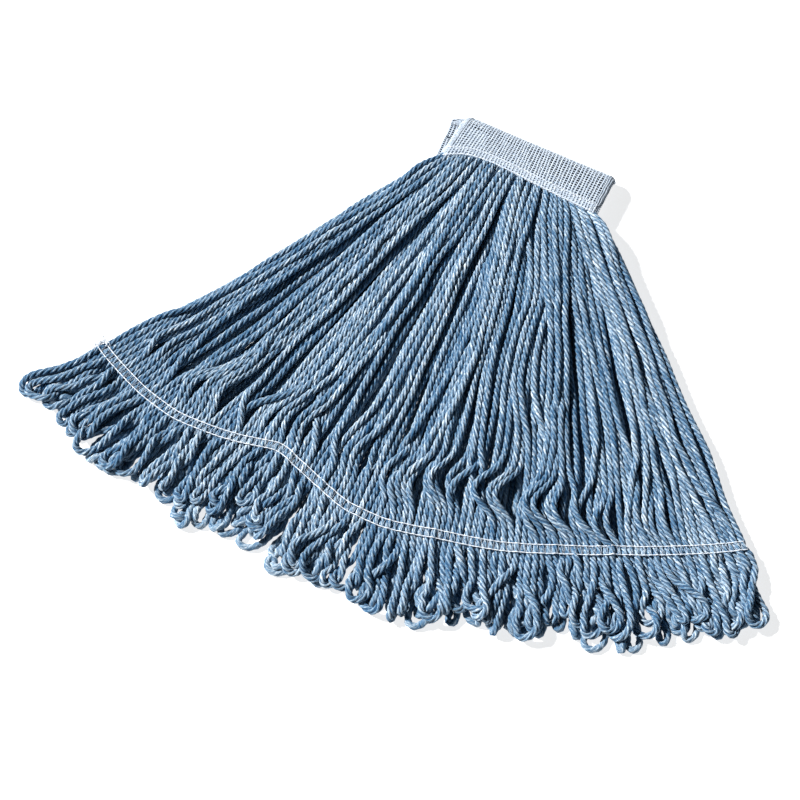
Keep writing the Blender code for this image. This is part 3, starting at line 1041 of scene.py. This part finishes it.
def build_hems(half):
    """The doubled lower hem, the rolled end hems and the stitching along them."""
    lines = net(-HALF_WIDTH, HALF_WIDTH, 0.0, 0.0088, 0.0010, 0.0024, 0.0019)
    lines += hem_lines(0.0, TAPE_SPLIT)
    build(f"tape_hems_{half}", on_half(lines, half), TAPE, f"{half}_headband")
    stitches = []
    for level in (0.0091, 0.0010):
        x = np.arange(-HALF_WIDTH + 0.002, HALF_WIDTH - 0.002, 0.0007)
        stitch = np.abs(np.sin(pi * x / STITCH_PITCH))
        lift = 0.0013 + 0.0003 * stitch + end_round(x)
        line = on_tape(x, level + 0.00012 * np.sin(x * 700), half, lift)
        radius = 0.00026 + 0.00014 * stitch
        stitches.append(plain_tube(line, radius, 6))
    obj = build(f"tape_stitches_{half}", stitches, THREAD, f"{half}_headband")
    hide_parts(f"headband_stitch_{half}")


def build_headband_yarn(half):
    """The yarn between the tapes, pressed flat, which shows through the mesh and at its ends, darkened
    as painted shade.
    """
    tubes = []
    for k, x in enumerate(np.linspace(-HALF_WIDTH + 0.0035, HALF_WIDTH - 0.0035, 27)):
        up = np.arange(0.007, TAPE_REACH - 0.002, 0.0022)
        outer = on_tape(x + 0 * up, up, half, -0.0042)
        outer = outer[outer[:, 1] < EDGE_Y + FOLD_TIP - 0.0027]
        shade = float(RNG.random())
        tubes.append(yarn_tube(outer, YARN_R * 0.93, shade, 12, float(k)))
        flat = np.arange(0.007, FOLD_START - 0.010, 0.0024)
        inner = on_tape(x + 0 * flat, flat, half, -0.0078)
        tubes.append(yarn_tube(inner, YARN_R * 0.85, shade, 10, float(k)))
    obj = build(f"headband_strands_{half}", tubes, YARN_IN_PAINTED_SHADE, f"{half}_headband")
    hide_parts(f"headband_yarn_{half}")


# the tape on the headband's inner face
LINING_RIB_R = 0.00078
LINING_ROW_R = 0.00038
LINING_RIBS = np.arange(-HALF_WIDTH + RIB_AT, HALF_WIDTH, RIB_PITCH)
LINING_ACROSS = np.arange(-HALF_WIDTH, HALF_WIDTH + 0.0001, RIB_PITCH)
LINING_TOP = 0.0424


def build_lining(half):
    """The tape on the inner face, which lines the fold."""
    profile = np.array(
        [
            (0.0, 0.0006),
            (0.0245, 0.0006),
            (0.0290, 0.0042),
            (0.0410, 0.0042),
            (0.0428, 0.0006),
        ]
    )
    dense = even(np.concatenate([np.zeros((len(profile), 1)), profile], 1), 44)
    tubes = []
    for x in LINING_RIBS:
        side = x + slant(x, dense[:, 1], half)
        z = MIDDLE_Z + OUTWARD[half] * dense[:, 2]
        path = np.stack([side, EDGE_Y + dense[:, 1], z], 1)
        tubes.append(plain_tube(path, LINING_RIB_R, flat=0.45, aside=ALONG_X))
    for row in dense[::2]:
        x = LINING_ACROSS
        side = x + slant(x, row[1], half)
        y = np.full(len(x), EDGE_Y + row[1])
        z = np.full(len(x), MIDDLE_Z + OUTWARD[half] * row[2])
        tubes.append(plain_tube(np.stack([side, y, z], 1), LINING_ROW_R, 5))
    obj = build(f"lining_{half}", tubes, TAPE, None)
    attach(obj, f"{half}_headband")
    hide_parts(f"headband_lining_{half}")


def build_lining_fold():
    """The lining's own fold, deep inside the headband."""
    leg = np.linspace(0, 1, 7)
    up = np.concatenate([LINING_TOP + 0.0040 * leg, (LINING_TOP + 0.0040 * leg)[::-1]])
    out = np.concatenate([-0.0006 + 0.0003 * leg, (0.0006 - 0.0003 * leg)[::-1]])
    turn = np.linspace(0, 1, len(up))
    tubes = []

    def aside(x, share):
        """x moved sideways by the tape's slant, from the back half's to the front half's."""
        ends = slant(x, LINING_TOP, "back"), slant(x, LINING_TOP, "front")
        return x + ends[0] + (ends[1] - ends[0]) * share

    for x in LINING_RIBS:
        path = np.stack([aside(x, turn), EDGE_Y + up, MIDDLE_Z + out], 1)
        tubes.append(plain_tube(path, LINING_RIB_R, flat=0.45, aside=ALONG_X))
    x = LINING_ACROSS
    for k in range(1, len(up) - 1, 2):
        y = np.full(len(x), EDGE_Y + up[k])
        z = np.full(len(x), MIDDLE_Z + out[k])
        tubes.append(plain_tube(np.stack([aside(x, turn[k]), y, z], 1), LINING_ROW_R, 5))
    obj = build("lining_fold", tubes, TAPE)
    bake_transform(obj)


# ---------------------------------------------------------------- making


strands = {half: end_of_strand(pack_strands(half), half) for half in HALVES}
loop_rng = np.random.default_rng(SEED["loops"])
started = [start_loops(half, strands[half], loop_rng) for half in HALVES]
loops = dict(zip(HALVES, settle_loops(*started)))

for half in HALVES:
    build_loops(half, loops[half])
for half in HALVES:
    build_tails(half, strands[half])
for half in HALVES:
    build_band(half, strands[half])
    build_inner_rows(half, strands[half])
    build_tape(half)
    build_hems(half)
    build_headband_yarn(half)
    build_lining(half)
build_fold()
build_lining_fold()
build_tuft()
for half in HALVES:
    # the yarn under the band is a node of its own in the CAD model
    node = f"band_yarn_{half}"
    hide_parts(node)
